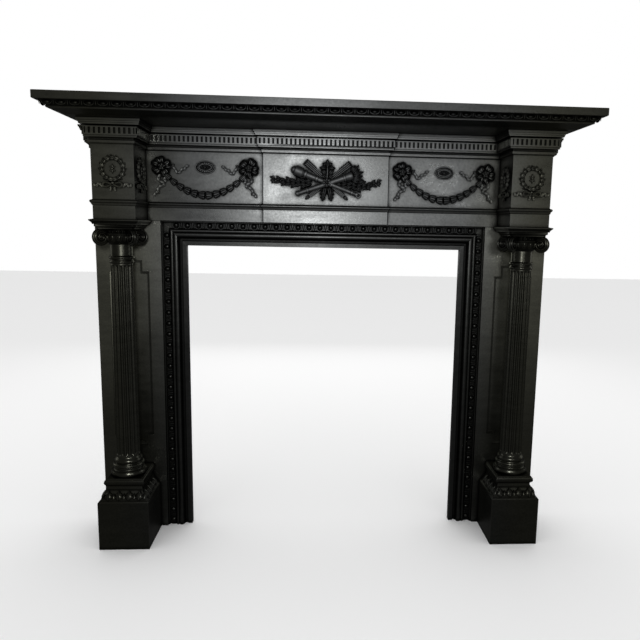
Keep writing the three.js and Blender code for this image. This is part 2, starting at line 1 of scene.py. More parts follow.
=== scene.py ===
"""Cast-iron fireplace surround: fine castings, black-leaded finish, studio and camera.

Metres, +Z up, back plane at y = WALL_Y. Each casting stands in the box of its solid.
"""
import math

import bmesh
import bpy
from mathutils import Matrix, Vector


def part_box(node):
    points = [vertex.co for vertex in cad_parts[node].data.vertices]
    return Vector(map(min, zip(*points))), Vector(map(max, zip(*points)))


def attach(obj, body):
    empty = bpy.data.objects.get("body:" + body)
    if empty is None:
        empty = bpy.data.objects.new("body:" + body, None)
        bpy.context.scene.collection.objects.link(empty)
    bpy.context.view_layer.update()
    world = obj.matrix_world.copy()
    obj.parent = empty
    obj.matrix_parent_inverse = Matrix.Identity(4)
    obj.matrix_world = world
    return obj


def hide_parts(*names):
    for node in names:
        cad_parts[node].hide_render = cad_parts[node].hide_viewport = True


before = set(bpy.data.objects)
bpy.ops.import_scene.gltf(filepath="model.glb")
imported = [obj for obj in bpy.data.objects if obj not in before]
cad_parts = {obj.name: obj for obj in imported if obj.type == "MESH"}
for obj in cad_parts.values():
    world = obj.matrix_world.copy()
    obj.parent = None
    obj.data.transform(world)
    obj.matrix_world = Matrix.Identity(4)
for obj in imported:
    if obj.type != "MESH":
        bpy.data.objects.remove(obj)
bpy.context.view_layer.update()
MM = 0.001
WALL_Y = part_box("mantel_shelf")[1].y


# Shader helpers
class Sock:
    """A shader value that can be added, multiplied and so on."""

    def __init__(self, tree, socket):
        self.tree = tree
        self.socket = socket

    def _math(self, op, other, swap=False):
        node = self.tree.nodes.new("ShaderNodeMath")
        node.operation = op
        pair = [self, other]
        if swap:
            pair.reverse()
        for slot, value in zip(node.inputs, pair):
            if isinstance(value, Sock):
                self.tree.links.new(value.socket, slot)
            else:
                slot.default_value = value
        return Sock(self.tree, node.outputs[0])

    def __add__(self, other):
        return self._math("ADD", other)

    __radd__ = __add__

    def __sub__(self, other):
        return self._math("SUBTRACT", other)

    def __rsub__(self, other):
        return self._math("SUBTRACT", other, True)

    def __mul__(self, other):
        return self._math("MULTIPLY", other)

    __rmul__ = __mul__


class Finish:
    """One material's node tree."""

    def __init__(self, name):
        self.material = bpy.data.materials.new(name)
        self.material.use_nodes = True
        self.tree = self.material.node_tree
        self.shader = self.tree.nodes["Principled BSDF"]

    def node(self, kind, settings=None, inputs=None, output=0):
        """Adds a node: settings first, then the values or links of its sockets."""
        node = self.tree.nodes.new(kind)
        for key, value in (settings or {}).items():
            if key == "stops":
                ramp = node.color_ramp
                while len(ramp.elements) < len(value):
                    ramp.elements.new(0.5)
                for element, (position, shade) in zip(ramp.elements, value):
                    element.position = position
                    element.color = (shade, shade, shade, 1)
            else:
                setattr(node, key, value)
        for key, value in (inputs or {}).items():
            if isinstance(value, Sock):
                self.tree.links.new(value.socket, node.inputs[key])
            else:
                node.inputs[key].default_value = value
        return Sock(self.tree, node.outputs[output])

    def feed(self, name, value):
        self.tree.links.new(value.socket, self.shader.inputs[name])

    def ramp(self, value, stops):
        return self.node("ShaderNodeValToRGB", {"stops": stops}, {"Fac": value})

    def mix(self, factor, a, b, blend="MIX"):
        settings = {"data_type": "RGBA", "blend_type": blend}
        return self.node("ShaderNodeMix", settings, {0: factor, 6: a, 7: b}, 2)

    def noise(self, where, scale, detail, roughness):
        inputs = {"Vector": where, "Scale": scale, "Detail": detail, "Roughness": roughness}
        return self.node("ShaderNodeTexNoise", None, inputs)

    def openness(self, reach, inside=False):
        """How free the surface is within a reach; from inside, how thick the metal is."""
        settings = {"samples": 8, "inside": inside}
        return self.node("ShaderNodeAmbientOcclusion", settings, {"Distance": reach}, 1)


# Tints of the middle and the ends of the piece, and how far in from an edge the polish is rubbed
COOL = (0.97, 1.0, 1.01, 1)
OLIVE = (1.0, 1.0, 0.8, 1)
EDGE_REACH = 0.005


def grey(shade, warmth=0.0):
    """A metal shade, with a little less blue when warm."""
    return (shade, shade, shade - warmth, 1)


def dimmed(colour, share):
    """The same colour lighter or darker, never above full white."""
    return (*[min(1, channel * share) for channel in colour[:3]], 1)


def iron(name, ground, hollow, rub, rough, blotch=1.0, shade_strength=0.9, reach=0.016, foot=1.0):
    """Black-leaded cast iron: rubbed ground and edges, painted shade in hollows, cast grain and small pits,
    and painted shade towards the floor when foot is under one.
    """
    f = Finish(name)
    where = f.node("ShaderNodeTexCoord", output=3)
    cloud = f.noise(where, 5.0, 5.0, 0.6)
    drawn = f.node("ShaderNodeMapping", None, {"Vector": where, "Scale": (2.0, 2.0, 9.0)})
    smear = f.noise(drawn, 6.0, 6.0, 0.65)
    speck = f.noise(where, 150.0, 3.0, 0.7)
    grain = f.noise(where, 420.0, 4.0, 0.6)
    cells = f.node("ShaderNodeTexVoronoi", None, {"Vector": where, "Scale": 26.0, "Randomness": 1.0})
    pit = f.ramp(cells, [(0.0, 1.0), (0.055, 0.0)]) * f.ramp(cloud, [(0.48, 0.0), (0.6, 1.0)])
    # How enclosed the surface is within the reach: it drives the painted shade in hollows and roughens them
    sunk = f.ramp(f.openness(reach), [(0.56, 1.0), (0.95, 0.0)])
    thin = f.ramp(f.openness(EDGE_REACH, True), [(0.45, 1.0), (0.85, 0.0)])
    worn = thin * f.ramp(speck, [(0.35, 0.2), (0.6, 1.0)])
    patch = f.ramp(cloud, [(0.36, 0.0), (0.66, 1.0)])
    streak = f.ramp(smear, [(0.35, 0.0), (0.7, 1.0)])

    tone = f.mix(patch * 0.5 * blotch, ground, dimmed(ground, 0.66))
    tone = f.mix(streak * 0.35 * blotch, tone, dimmed(ground, 1.3))
    tone = f.mix(f.ramp(speck, [(0.3, 0.0), (0.75, 0.35)]), tone, hollow)
    tone = f.mix(worn * 0.6, tone, rub)
    # Painted shade: hollows, corners and undercuts darkened towards the hollow colour
    tone = f.mix(sunk * shade_strength, tone, hollow)
    tone = f.mix(pit * 0.8, tone, hollow)
    across = f.node("ShaderNodeSeparateXYZ", None, {"Vector": where})
    height = f.node("ShaderNodeSeparateXYZ", None, {"Vector": where}, 2)
    ends = f.ramp(across * across * 2.0, [(0.4, 0.0), (0.9, 1.0)])
    tint = f.mix(ends, COOL, OLIVE)
    # Painted shade: the colour darkens below 0.95 m down to the foot share at 0.35 m
    tint = f.mix(1.0, tint, f.ramp(height, [(0.35, foot), (0.95, 1.0)]), "MULTIPLY")
    f.feed("Base Color", f.mix(1.0, tone, tint, "MULTIPLY"))
    f.feed("Roughness", patch * 0.1 + streak * 0.06 + speck * 0.1 + (rough - 0.12) + sunk * 0.2)
    skin = grain * 0.35 + speck * 0.5 + smear * 0.35 - pit * 0.6
    f.feed("Normal", f.node("ShaderNodeBump", None, {"Strength": 0.16, "Distance": 0.0012, "Height": skin}))
    f.shader.inputs["Metallic"].default_value = 1.0
    return f.material


GROUND = iron("burnished_ground", grey(0.37, 0.005), grey(0.012), grey(0.46), rough=0.32, blotch=0.5)
RELIEF = iron("blackened_relief", grey(0.55), grey(0.005), grey(0.85), rough=0.54, blotch=0.8,
              shade_strength=1.0, reach=0.022)
LEAFAGE = iron("darkened_leafage", grey(0.26), grey(0.004), grey(0.62), rough=0.5, blotch=0.8, shade_strength=1.0)
BLACK = iron("black_leaded", grey(0.18, 0.005), grey(0.005), grey(0.34), rough=0.34)
POLISHED = iron("polished_shaft", grey(0.25, 0.01), grey(0.005), grey(0.5), rough=0.28)
# The jamb's iron darkens towards the floor as painted shade
JAMB = iron("rubbed_jamb", grey(0.64, 0.01), grey(0.012), grey(0.66), rough=0.36, blotch=0.6, foot=0.42)
# A darker copy of the iron: painted shade on the inner block returns and in the joint grooves beside the
# tablet
RETURN_AND_JOINT_SHADE = iron("painted_shade_returns_and_joints", grey(0.045), grey(0.004), grey(0.2), rough=0.5)
# A darker copy of the iron: painted shade on egg bands, impost coves, capitals and the slips' shells and
# darts
SHADED = iron("painted_shade_carving", grey(0.09), grey(0.004), grey(0.32), rough=0.42)


# Mesh helpers
def place(x, depth, z):
    """A point given in millimetres, depth measured out from the wall."""
    return Vector((x * MM, WALL_Y - depth * MM, z * MM))


def finish_piece(name, bm, materials, smooth=32, bevel=0.0, node=None):
    """Closes a piece: merged corners, nothing past wall or floor, finishes, smoothing, frame."""
    bmesh.ops.remove_doubles(bm, verts=bm.verts, dist=1e-6)
    for vert in bm.verts:
        vert.co.y = min(vert.co.y, WALL_Y)
        vert.co.z = max(vert.co.z, 0)
    mesh = bpy.data.meshes.new(name)
    bm.to_mesh(mesh)
    bm.free()
    piece = bpy.data.objects.new(name, mesh)
    bpy.context.scene.collection.objects.link(piece)
    for material in materials:
        mesh.materials.append(material)
    bpy.context.view_layer.objects.active = piece
    piece.select_set(True)
    if bevel:
        mod = piece.modifiers.new("edges", "BEVEL")
        mod.width = bevel
        mod.segments = 2
        mod.limit_method = "ANGLE"
        mod.angle_limit = math.radians(35)
        bpy.ops.object.modifier_apply(modifier="edges")
    bpy.ops.object.shade_smooth_by_angle(angle=math.radians(smooth))
    flat = piece.modifiers.new("flat_faces", "WEIGHTED_NORMAL")
    flat.keep_sharp = True
    flat.weight = 90
    bpy.ops.object.modifier_apply(modifier="flat_faces")
    piece.select_set(False)
    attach(piece, "root")
    if node:
        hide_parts(node)
    return piece


def turn_outwards(faces, axis=None):
    """Faces a closed body outwards by its volume, or an open sheet along its axis."""
    total = 0
    for face in faces:
        face.normal_update()
        total += face.calc_area() * face.normal.dot(axis or face.calc_center_median())
    if total < 0:
        for face in faces:
            face.normal_flip()


def loft(bm, rings, closed=True, material=0, columns=()):
    """Skins a stack of point rings and caps both ends; some columns can take the second finish."""
    rows = [[bm.verts.new(p) for p in ring] for ring in rings]
    n = len(rings[0])
    faces = []
    for low, high in zip(rows, rows[1:]):
        for i in range(n):
            j = (i + 1) % n
            face = bm.faces.new((low[i], low[j], high[j], high[i]))
            face.material_index = 1 if i in columns else material
            faces.append(face)
    if closed:
        for row in (rows[0][::-1], rows[-1]):
            face = bm.faces.new(row)
            face.material_index = material
            faces.append(face)
        turn_outwards(faces)
    return rows


def plan_loft(bm, plan, profile, material=0, columns=()):
    """Runs a moulding (height, projection) round a plan that grows with the projection."""
    rings = [[place(x, d, z) for x, d in plan(p)] for z, p in profile]
    loft(bm, rings, material=material, columns=columns)


def turned(bm, profile, x, depth, around=64, shape=None, material=0):
    """A turned form (height, radius) on an upright axis, optionally fluted by shape."""
    rings = []
    for z, r in profile:
        ring = []
        for i in range(around):
            angle = 2 * math.pi * i / around
            radius = shape(angle, z, r) if shape else r
            ring.append(place(x + radius * math.cos(angle), depth + radius * math.sin(angle), z))
        rings.append(ring)
    loft(bm, rings, material=material)


def arc(z0, p0, z1, p1, bulge, steps=5):
    """A curved step of a moulding between two points, swelling (+) or hollow (-)."""
    out = []
    for i in range(steps + 1):
        t = i / steps
        swell = math.sin(math.pi * t) * bulge
        out.append((z0 + (z1 - z0) * t, p0 + (p1 - p0) * t + swell))
    return out


def face_frame(x, depth, z, turn=0.0):
    """Right, up and outward on an upright face, as a matrix."""
    move = Matrix.Translation(place(x, depth, z))
    return move @ Matrix.Rotation(turn, 4, "Z") @ Matrix.Rotation(math.pi / 2, 4, "X") @ Matrix.Scale(MM, 4)


def grid_form(bm, at, columns, rows, surface, material=0):
    """Adds an open sheet given by surface(u, v) in the frame's own right, up, out."""
    verts = [[bm.verts.new(at @ Vector(surface(i / columns, j / rows))) for i in range(columns + 1)]
             for j in range(rows + 1)]
    faces = []
    for j in range(rows):
        for i in range(columns):
            quad = (verts[j][i], verts[j][i + 1], verts[j + 1][i + 1], verts[j + 1][i])
            if len({tuple(v.co) for v in quad}) > 2:
                face = bm.faces.new(quad)
                face.material_index = material
                faces.append(face)
    turn_outwards(faces, at.to_3x3().col[2])


def rotated(at, x, y, angle=0.0, lift=0.0):
    """The same face's frame, moved right, up and out, and turned in its plane."""
    return at @ Matrix.Translation((x, y, lift)) @ Matrix.Rotation(angle, 4, "Z")


def oval(wide, tall, lift, x=0, y=0, steps=48, turns=(0, 1)):
    """Points of an oval, or of a part of one, as right, up, out."""
    first, last = turns
    angles = [2 * math.pi * (first + (last - first) * k / steps) for k in range(steps + 1)]
    return [(x + wide * math.cos(a), y + tall * math.sin(a), lift) for a in angles]


def egg(bm, at, wide, tall, high, material=0):
    """Half an egg standing out of its band."""
    def surface(u, v):
        a = math.pi * u
        r = math.sin(math.pi * v)
        y = -math.cos(math.pi * v) * tall
        swell = 1 + 0.18 * y / tall
        return (math.cos(a) * r * wide * swell, y, math.sin(a) * r * high * swell - 0.4)
    grid_form(bm, at, 10, 8, surface, material)


def rope(bm, at, points, radius, around=8, material=0, taper=None, flat=1.0):
    """A round or flattened bar along points given as right, up, out."""
    rings = []
    path = [Vector(p) for p in points]
    for i, point in enumerate(path):
        ahead = path[min(i + 1, len(path) - 1)] - path[max(i - 1, 0)]
        side = ahead.cross(Vector((0, 0, 1))).normalized()
        lift = side.cross(ahead).normalized()
        r = radius * (taper(i / (len(path) - 1)) if taper else 1.0)
        ring = []
        for k in range(around):
            a = 2 * math.pi * k / around
            ring.append(at @ (point + side * (math.cos(a) * r) + lift * (math.sin(a) * r * flat)))
        rings.append(ring)
    loft(bm, rings, material=material)


def leaf(bm, at, length, width, rise, material=0, lobes=0):
    """A leaf lying on its face from the root at the origin, along +right, with a sunk midrib."""
    def surface(t, v):
        s = 2 * v - 1
        half = width * math.sin(math.pi * min(1, t ** 0.75)) ** 0.8
        if lobes:
            half *= 1 + 0.16 * math.cos(2 * math.pi * lobes * t) * abs(s)
        dome = (1 - abs(s) ** 2.2) * math.sin(math.pi * t) ** 0.6
        rib = 0.38 * math.exp(-(s / 0.16) ** 2)
        return (t * length, s * half, rise * (dome * (1 - rib)) - 0.5)
    grid_form(bm, at, 12, 10, surface, material)


def petal_rosette(bm, at, radius, rise, petals, material=0):
    """A round flower with a raised eye."""
    def surface(u, t):
        a = 2 * math.pi * u
        lobe = abs(math.cos(petals * a / 2))
        r = radius * t * (0.82 + 0.18 * lobe)
        dome = rise * (math.sin(math.pi * min(1, t * 0.9)) ** 0.8) * (0.65 + 0.35 * lobe)
        return (r * math.cos(a), r * math.sin(a), dome - 0.5)
    grid_form(bm, at, petals * 6, 8, surface, material)
    egg(bm, rotated(at, 0, 0), radius * 0.24, radius * 0.24, rise * 1.25, material)


def ribbon(bm, at, points, width, lift=3.0, material=0, steps=6):
    """A flat folded ribbon along points, with a raised rim on both sides."""
    path = [Vector((p[0], p[1], p[2] if len(p) > 2 else lift)) for p in points]
    smooth = []
    for i in range(len(path) - 1):
        for k in range(steps):
            smooth.append(path[i].lerp(path[i + 1], k / steps))
    smooth.append(path[-1])
    section = [(-1, -0.8), (-1, 0.5), (-0.7, 0.75), (0, 0.35), (0.7, 0.75), (1, 0.5), (1, -0.8)]
    rings = []
    for i, point in enumerate(smooth):
        ahead = smooth[min(i + 1, len(smooth) - 1)] - smooth[max(i - 1, 0)]
        side = Vector((-ahead.y, ahead.x, 0)).normalized()
        wave = 0.86 + 0.14 * math.sin(i * 5.4 / steps)
        ring = []
        for share, out in section:
            ring.append(at @ (point + side * (share * width / 2 * wave) + Vector((0, 0, out * lift))))
        rings.append(ring)
    loft(bm, rings, material=material)


# Sizes shared by the pieces, in millimetres
SHELF_HALF, DEPTH, HEIGHT, OVERHANG = 820, 336, 1410, 115
PEDESTAL_TOP, CAPITAL_BOTTOM, IMPOST_BOTTOM, BAND_BOTTOM, SHELF_BOTTOM = 233, 984, 1046, 1062, 1354
MAIN_DEPTH, MAIN_HALF, BLOCK_INNER, TABLET_HALF = 78, 751, 579, 204
BLOCK_DEPTH = DEPTH - OVERHANG
BLOCK_OUTER = SHELF_HALF - OVERHANG
TABLET_DEPTH = MAIN_DEPTH + 10
JAMB_DEPTH, JAMB_INNER = 74, 541
COLUMN_X, COLUMN_DEPTH = 643, 160
SHAFT_TOP_R, SHAFT_FOOT_R, FLUTES = 33.5, 37, 16
PEDESTAL_HALF = 80
BED, DENTIL_P, DENTIL_BOTTOM, DENTIL_TOP = 29, 17, 1307, 1332
SLOT_PITCH, SLOT_WIDTH, SLOT_DEEP = 14.2, 7.2, 7
SLOT_LOW, SLOT_HIGH = DENTIL_BOTTOM + 4, DENTIL_TOP - 3
JOINT_WIDE, JOINT_DEEP = 3.2, 8
WREATH_Z, FESTOON_Z, TROPHY_Z = 1211, 1231, 1197
SHELF_EGG_PITCH, SLIP_EGG_PITCH = 38, 37
SCROLL_R, SCROLL_REACH, SCROLL_Z = 26.6, 66, 1007
FASCIA_BOTTOM, EGG_BAND_BOTTOM = 1387.4, 1372


# Mantel shelf
def make_shelf():
    bm = bmesh.new()

    def plan(inset):
        return [(-SHELF_HALF + inset, 0), (-SHELF_HALF + inset, DEPTH - inset),
                (SHELF_HALF - inset, DEPTH - inset), (SHELF_HALF - inset, 0)]

    profile = [(SHELF_BOTTOM, OVERHANG - BED)]
    profile += arc(1356.8, 67, 1368, 34.4, 3)
    profile += [(1368, 28.4), (1369, 28), (1373, 28), (1374, 28.5)]
    profile += arc(1374.5, 28, 1386, 13.5, 1.2)
    profile += [(1387, 13), (1387, 2), (1388, 0.5), (1389, 0)]
    profile += [(HEIGHT - 2, 0), (HEIGHT - 0.6, 0.6), (HEIGHT, 2)]
    plan_loft(bm, plan, profile)
    # The egg band takes the darker copy as painted shade; above the fascia's foot the burnished ground
    for face in bm.faces:
        level = face.calc_center_median().z / MM
        if level > FASCIA_BOTTOM:
            face.material_index = 2
        elif level >= EGG_BAND_BOTTOM:
            face.material_index = 1
    mid, band_z = 16.5, 1380.5

    def unit(x, depth, turn, pitch):
        """An egg in its shell and the dart beside it."""
        at = face_frame(x, depth, band_z, turn)
        # Egg, shell and dart take the darker copy as painted shade
        egg(bm, rotated(at, 0, -0.4), pitch * 0.24, 6.6, 6.0, 1)
        wide = pitch * 0.36
        shell = oval(wide, 7.6, 0.6, 0, 1.5, 12, (0.5, 1))
        rope(bm, at, [(-wide, 6.2, 0.6)] + shell + [(wide, 6.2, 0.6)], 1.3, 6, 1)
        rope(bm, at, [(pitch / 2, 6, 1.2), (pitch / 2, 0, 1.6), (pitch / 2, -6.5, 0.4)], 1.9, 6, 1,
             taper=lambda t: 1.1 - 0.8 * t)

    run = 2 * (SHELF_HALF - mid)
    count = round(run / SHELF_EGG_PITCH)
    for i in range(count):
        unit(-run / 2 + run / count * (i + 0.5), DEPTH - mid, 0, run / count)
    run = DEPTH - mid
    count = round(run / SHELF_EGG_PITCH)
    for i in range(count):
        for side in (-1, 1):
            unit(side * (SHELF_HALF - mid), run / count * (i + 0.5), side * math.pi / 2, run / count)
    finish_piece("shelf_board", bm, [BLACK, SHADED, GROUND], node="mantel_shelf")


# Entablature
def entablature_plan(p):
    """The front's plan at a projection, with the grooves beside the tablet."""
    joint = TABLET_HALF + p
    half = [(joint, TABLET_DEPTH + p), (joint, MAIN_DEPTH + p - JOINT_DEEP),
            (joint + JOINT_WIDE, MAIN_DEPTH + p - JOINT_DEEP), (joint + JOINT_WIDE, MAIN_DEPTH + p),
            (BLOCK_INNER - p, MAIN_DEPTH + p), (BLOCK_INNER - p, BLOCK_DEPTH + p),
            (BLOCK_OUTER + p, BLOCK_DEPTH + p), (BLOCK_OUTER + p, MAIN_DEPTH + p),
            (MAIN_HALF + p, MAIN_DEPTH + p), (MAIN_HALF + p, 0)]
    return [(-x, d) for x, d in reversed(half)] + half


def dentil_runs():
    """Each straight stretch of the dentil band: start, end and outward turn."""
    p = DENTIL_P
    runs = [((-TABLET_HALF - p, TABLET_DEPTH + p), (TABLET_HALF + p, TABLET_DEPTH + p), 0)]
    for s in (-1, 1):
        spans = [((TABLET_HALF + p, MAIN_DEPTH + p), (BLOCK_INNER - p, MAIN_DEPTH + p), 0),
                 ((BLOCK_INNER - p, BLOCK_DEPTH + p), (BLOCK_OUTER + p, BLOCK_DEPTH + p), 0),
                 ((BLOCK_OUTER + p, MAIN_DEPTH + p), (MAIN_HALF + p, MAIN_DEPTH + p), 0),
                 ((MAIN_HALF + p, 0), (MAIN_HALF + p, MAIN_DEPTH + p), 1),
                 ((BLOCK_INNER - p, MAIN_DEPTH + p), (BLOCK_INNER - p, BLOCK_DEPTH + p), -1),
                 ((BLOCK_OUTER + p, MAIN_DEPTH + p), (BLOCK_OUTER + p, BLOCK_DEPTH + p), 1)]
        for a, b, turn in spans:
            runs.append(((s * a[0], a[1]), (s * b[0], b[1]), turn * s * math.pi / 2))
    return runs


def make_entablature():
    bm = bmesh.new()
    back = DENTIL_P - SLOT_DEEP
    profile = [(BAND_BOTTOM, 0), (1102, 0), (1103, 1), (1104, 2), (1109, 3)]
    profile += arc(1110.5, 5, 1118.5, 5, 2, 5)
    profile += arc(1119, 3, 1121, 0, -0.5, 2)
    profile += arc(1281, 0, 1285.6, 4.4, -1.2, 4)
    profile += [(1286, 5), (1293, 5), (1293.4, 3)]
    profile += arc(1293.8, 2.6, 1300.4, 3.4, -1.4, 5)
    profile += [(1301, 11.6), (1301.6, 14.6), (DENTIL_BOTTOM - 0.6, 14.6)]
    profile += [(DENTIL_BOTTOM, DENTIL_P), (SLOT_LOW, DENTIL_P), (SLOT_LOW, back), (SLOT_HIGH, back),
                (SLOT_HIGH, DENTIL_P), (DENTIL_TOP, DENTIL_P), (DENTIL_TOP, 10)]
    profile += arc(1332.6, 7, 1336.4, 7, -2.5, 4)
    profile += [(1337, 10), (1337, 23.4), (1341.4, 24), (1341.8, 22.6), (1342.2, 25.4)]
    profile += [(1346.6, 26), (1347, 24.6), (1347.4, BED - 1), (1353.4, BED), (SHELF_BOTTOM, BED - 0.6)]
    middle = len(entablature_plan(0)) // 2
    # The joint grooves beside the tablet and the inner block returns take the darker copy as painted shade
    joints = [middle + k for k in (-4, -3, -2, 0, 1, 2)]
    inner_returns = [middle - 6, middle + 4]
    plan_loft(bm, entablature_plan, profile, columns=joints + inner_returns)
    for s in (-1, 1):
        def cove_plan(p):
            return [(s * (MAIN_HALF - 20), 0), (s * (MAIN_HALF - 20), MAIN_DEPTH + p),
                    (s * (MAIN_HALF + p), MAIN_DEPTH + p), (s * (MAIN_HALF + p), 0)]
        plan_loft(bm, cove_plan, [(1292.6, 4.8)] + arc(1293.2, 5, 1301.2, 13.4, -1, 4))
    for (x0, d0), (x1, d1), turn in dentil_runs():
        length = math.hypot(x1 - x0, d1 - d0)
        count = round(length / SLOT_PITCH)
        half_bar = (length / count - SLOT_WIDTH) / 2
        onward = (x1 - x0) * math.cos(turn) > (d1 - d0) * math.sin(turn)
        first, last = (0, count) if onward else (count, 0)
        for i in range(count + 1):
            t = i / count
            left = 0 if i == first else -half_bar
            right = 0 if i == last else half_bar
            at = face_frame(x0 + (x1 - x0) * t, d0 + (d1 - d0) * t, SLOT_LOW, turn)
            corners = [(left, -SLOT_DEEP), (right, -SLOT_DEEP), (right, 0), (left, 0)]
            loft(bm, [[at @ Vector((x, y, out)) for x, out in corners] for y in (0, SLOT_HIGH - SLOT_LOW)])
    finish_piece("frieze_casting", bm, [GROUND, RETURN_AND_JOINT_SHADE], node="entablature",
                 bevel=0.0005)


def make_imposts():
    """The moulding under each end block, with painted shade below its lip."""
    bm = bmesh.new()

    def impost_plan(p):
        front = BLOCK_DEPTH + p
        return [(BLOCK_INNER - p, JAMB_DEPTH + 0.3), (BLOCK_INNER - p, front),
                (BLOCK_OUTER + p, front), (BLOCK_OUTER + p, JAMB_DEPTH + 0.3)]

    profile = [(IMPOST_BOTTOM, 3), (IMPOST_BOTTOM + 3, 3.4)]
    profile += arc(IMPOST_BOTTOM + 3.5, 4, IMPOST_BOTTOM + 10.5, 10.4, -0.6, 5)
    profile += [(IMPOST_BOTTOM + 11, 11), (BAND_BOTTOM - 2.2, 11)]
    profile += arc(BAND_BOTTOM - 2, 10.6, BAND_BOTTOM + 0.4, 0.4, -1, 3)
    for s in (-1, 1):
        plan_loft(bm, lambda p: [(s * x, d) for x, d in impost_plan(p)], profile)
    # Below the lip the darker copy stands in as painted shade
    for face in bm.faces:
        if face.calc_center_median().z < (IMPOST_BOTTOM + 10.7) * MM:
            face.material_index = 1
    finish_piece("impost_mouldings", bm, [BLACK, SHADED])


def turned_bar(bm, at, start, end, profile, lift=2.0, around=16, flat=0.9):
    """A round bar lying on the face, its radius given at shares of its length."""
    a, b = Vector((*start, lift)), Vector((*end, lift))
    along = (b - a).normalized()
    side = along.cross(Vector((0, 0, 1)))
    rings = []
    for share, r in profile:
        point = a.lerp(b, share)
        ring = []
        for k in range(around):
            turn = 2 * math.pi * k / around
            rise = Vector((0, 0, r * flat * math.sin(turn)))
            ring.append(at @ (point + side * (r * math.cos(turn)) + rise))
        rings.append(ring)
    loft(bm, rings)


def banded(*parts):
    """Joins plain stretches (share, radius) and raised bands (share, radius, rise)."""
    profile = []
    for part in parts:
        share, r = part[:2]
        if len(part) == 3:
            band = r + part[2]
            profile += [(share - 0.013, r), (share - 0.011, band)]
            profile += [(share + 0.011, band), (share + 0.013, r)]
        else:
            profile.append((share, r))
    return profile


def make_wreath(bm, at):
    """A wreath of overlapping leaves tied at the foot, with a small leafy sprig inside it."""
    links, radius = 15, 33
    rope(bm, at, oval(radius, radius, 0.6), 3.6, 8, 1)
    for i in range(links):
        a = -math.pi / 2 + 2 * math.pi * (i + 0.5) / links
        side = 1 if i < links / 2 else -1
        b = a - 0.25 * side
        root = rotated(at, radius * math.cos(b), radius * math.sin(b), a + math.pi / 2 * side, lift=1.6)
        leaf(bm, root, 17.5, 7.4, 6.4, i % 2)
        for out in (1, -1):
            r = radius + 5 * out
            root = rotated(at, r * math.cos(a), r * math.sin(a), a + (math.pi / 2 - 0.5 * out) * side)
            leaf(bm, root, 8, 3, 3.6, 1)
    leaf(bm, rotated(at, 0, 0, math.pi / 2, lift=1), 15, 4, 5)
    leaf(bm, rotated(at, 0, 0, -math.pi / 2, lift=1), 15, 3.6, 4.6)
    for lean in (0.55, 2.59, -0.55, -2.59):
        leaf(bm, rotated(at, 0, math.copysign(1.5, lean), lean, lift=0.6), 11, 3.2, 4.2)
    egg(bm, rotated(at, 0, 0, lift=1), 3.6, 3.6, 6)
    egg(bm, rotated(at, 0, -42, math.pi / 2), 5, 6, 6.5)
    for s in (-1, 1):
        outward = 0 if s > 0 else math.pi
        ribbon_loop(bm, rotated(at, s * 3, -46, outward - s * 0.06), 25, 6.5, 6, 3.4)
        wave = [(24, -48), (29, -52), (34, -50), (38, -44), (43, -45), (47, -51), (52, -50), (56, -45)]
        ribbon(bm, at, [(s * x, y, 2.4) for x, y in wave], 8, 2.8)
        ribbon(bm, at, [(s * 2, -46), (s * 7, -55), (s * 4, -60), (s * 9, -65)], 6, 2.4)


def husk(bm, at, length, wide, rise):
    """One bell flower of a festoon, root at the left: a rounded cup with three petals and a lip."""
    def surface(t, v):
        a = 2 * v - 1
        root = math.sqrt(1 - (1 - min(1, t / 0.3)) ** 2)
        petal = abs(math.cos(1.5 * math.pi * a))
        half = wide * (0.54 + 0.46 * math.sin(math.pi * 0.56 * t)) * root
        fall = max(0.0, (t - 0.8) / 0.2)
        swell = rise * (0.84 + 0.16 * t) * root * max(0, 1 - abs(a) ** 2.4) ** 0.5
        groove = 1 - 0.34 * (1 - petal) ** 3 * min(1, t / 0.4)
        x = length * (t - 0.5) + 0.1 * length * (petal - 0.5) * t ** 3
        return (x, half * a * (1 - 0.3 * fall ** 2), swell * groove * (1 - fall ** 3) - 0.5)
    grid_form(bm, at, 16, 20, surface, 1)


def ribbon_loop(bm, at, reach, half, width, lift):
    """A closed ribbon loop from the origin out along +right and back."""
    path = []
    for k in range(13):
        t = k / 12
        across = half * math.sin(2 * math.pi * t)
        path.append((reach * math.sin(math.pi * t), across, lift * (0.8 + 0.5 * t)))
    ribbon(bm, at, path, width, lift, steps=2)


def make_knot(bm, at, side):
    """A full knot of ribbon loops with a tail hanging outwards and a streamer running inwards."""
    petals = 9
    for k in range(petals):
        heading = side * (2 * math.pi * k / petals + 0.16 * math.sin(2.6 * k))
        root = rotated(at, 8 * math.cos(heading), 8 * math.sin(heading), heading, lift=k % 2)
        leaf(bm, root, 24 + 1.6 * (k % 3), 9.4, 7, k % 2)
        ribbon_loop(bm, rotated(at, 0, 0, heading, lift=0.6), 31.5 + (k % 3), 10.5, 2.6, 3)
    for turn, reach in ((0.5, 15), (1.75, 13), (2.9, 15), (4.2, 14), (5.3, 15)):
        heading = turn if side > 0 else math.pi - turn
        leaf(bm, rotated(at, 0, 0, heading, lift=4.4), reach, 5.6, 5, 1)
    egg(bm, rotated(at, 0, 0, lift=6), 4, 4, 5, 1)
    tail = [(4, -26), (12, -38), (6, -46), (-8, -52), (-7, -60), (5, -63), (12, -71), (12, -80), (21, -85),
            (24, -93)]
    ribbon(bm, at, [(side * x, y, 2.8) for x, y in tail], 9, 3.2)
    second = [(-6, -24), (-14, -33), (-8, -41), (-15, -48)]
    ribbon(bm, at, [(side * x, y, 2.2) for x, y in second], 8, 2.8)
    inner = [(-26, -3), (-38, -1), (-45, -9), (-50, -20), (-60, -17), (-65, -7), (-74, -7), (-80, 2),
             (-88, 4)]
    ribbon(bm, at, [(side * x, y, 2.0) for x, y in inner], 7.5, 2.6)
    for x, y, lean in ((-32, 2, 0.5), (10, -32, -1.2), (14, -76, -1.0), (-8, -52, -2.4), (-40, -2, 2.6)):
        heading = lean if side < 0 else math.pi - lean
        leaf(bm, rotated(at, side * x, y, heading, lift=1), 13, 4.6, 5.5)


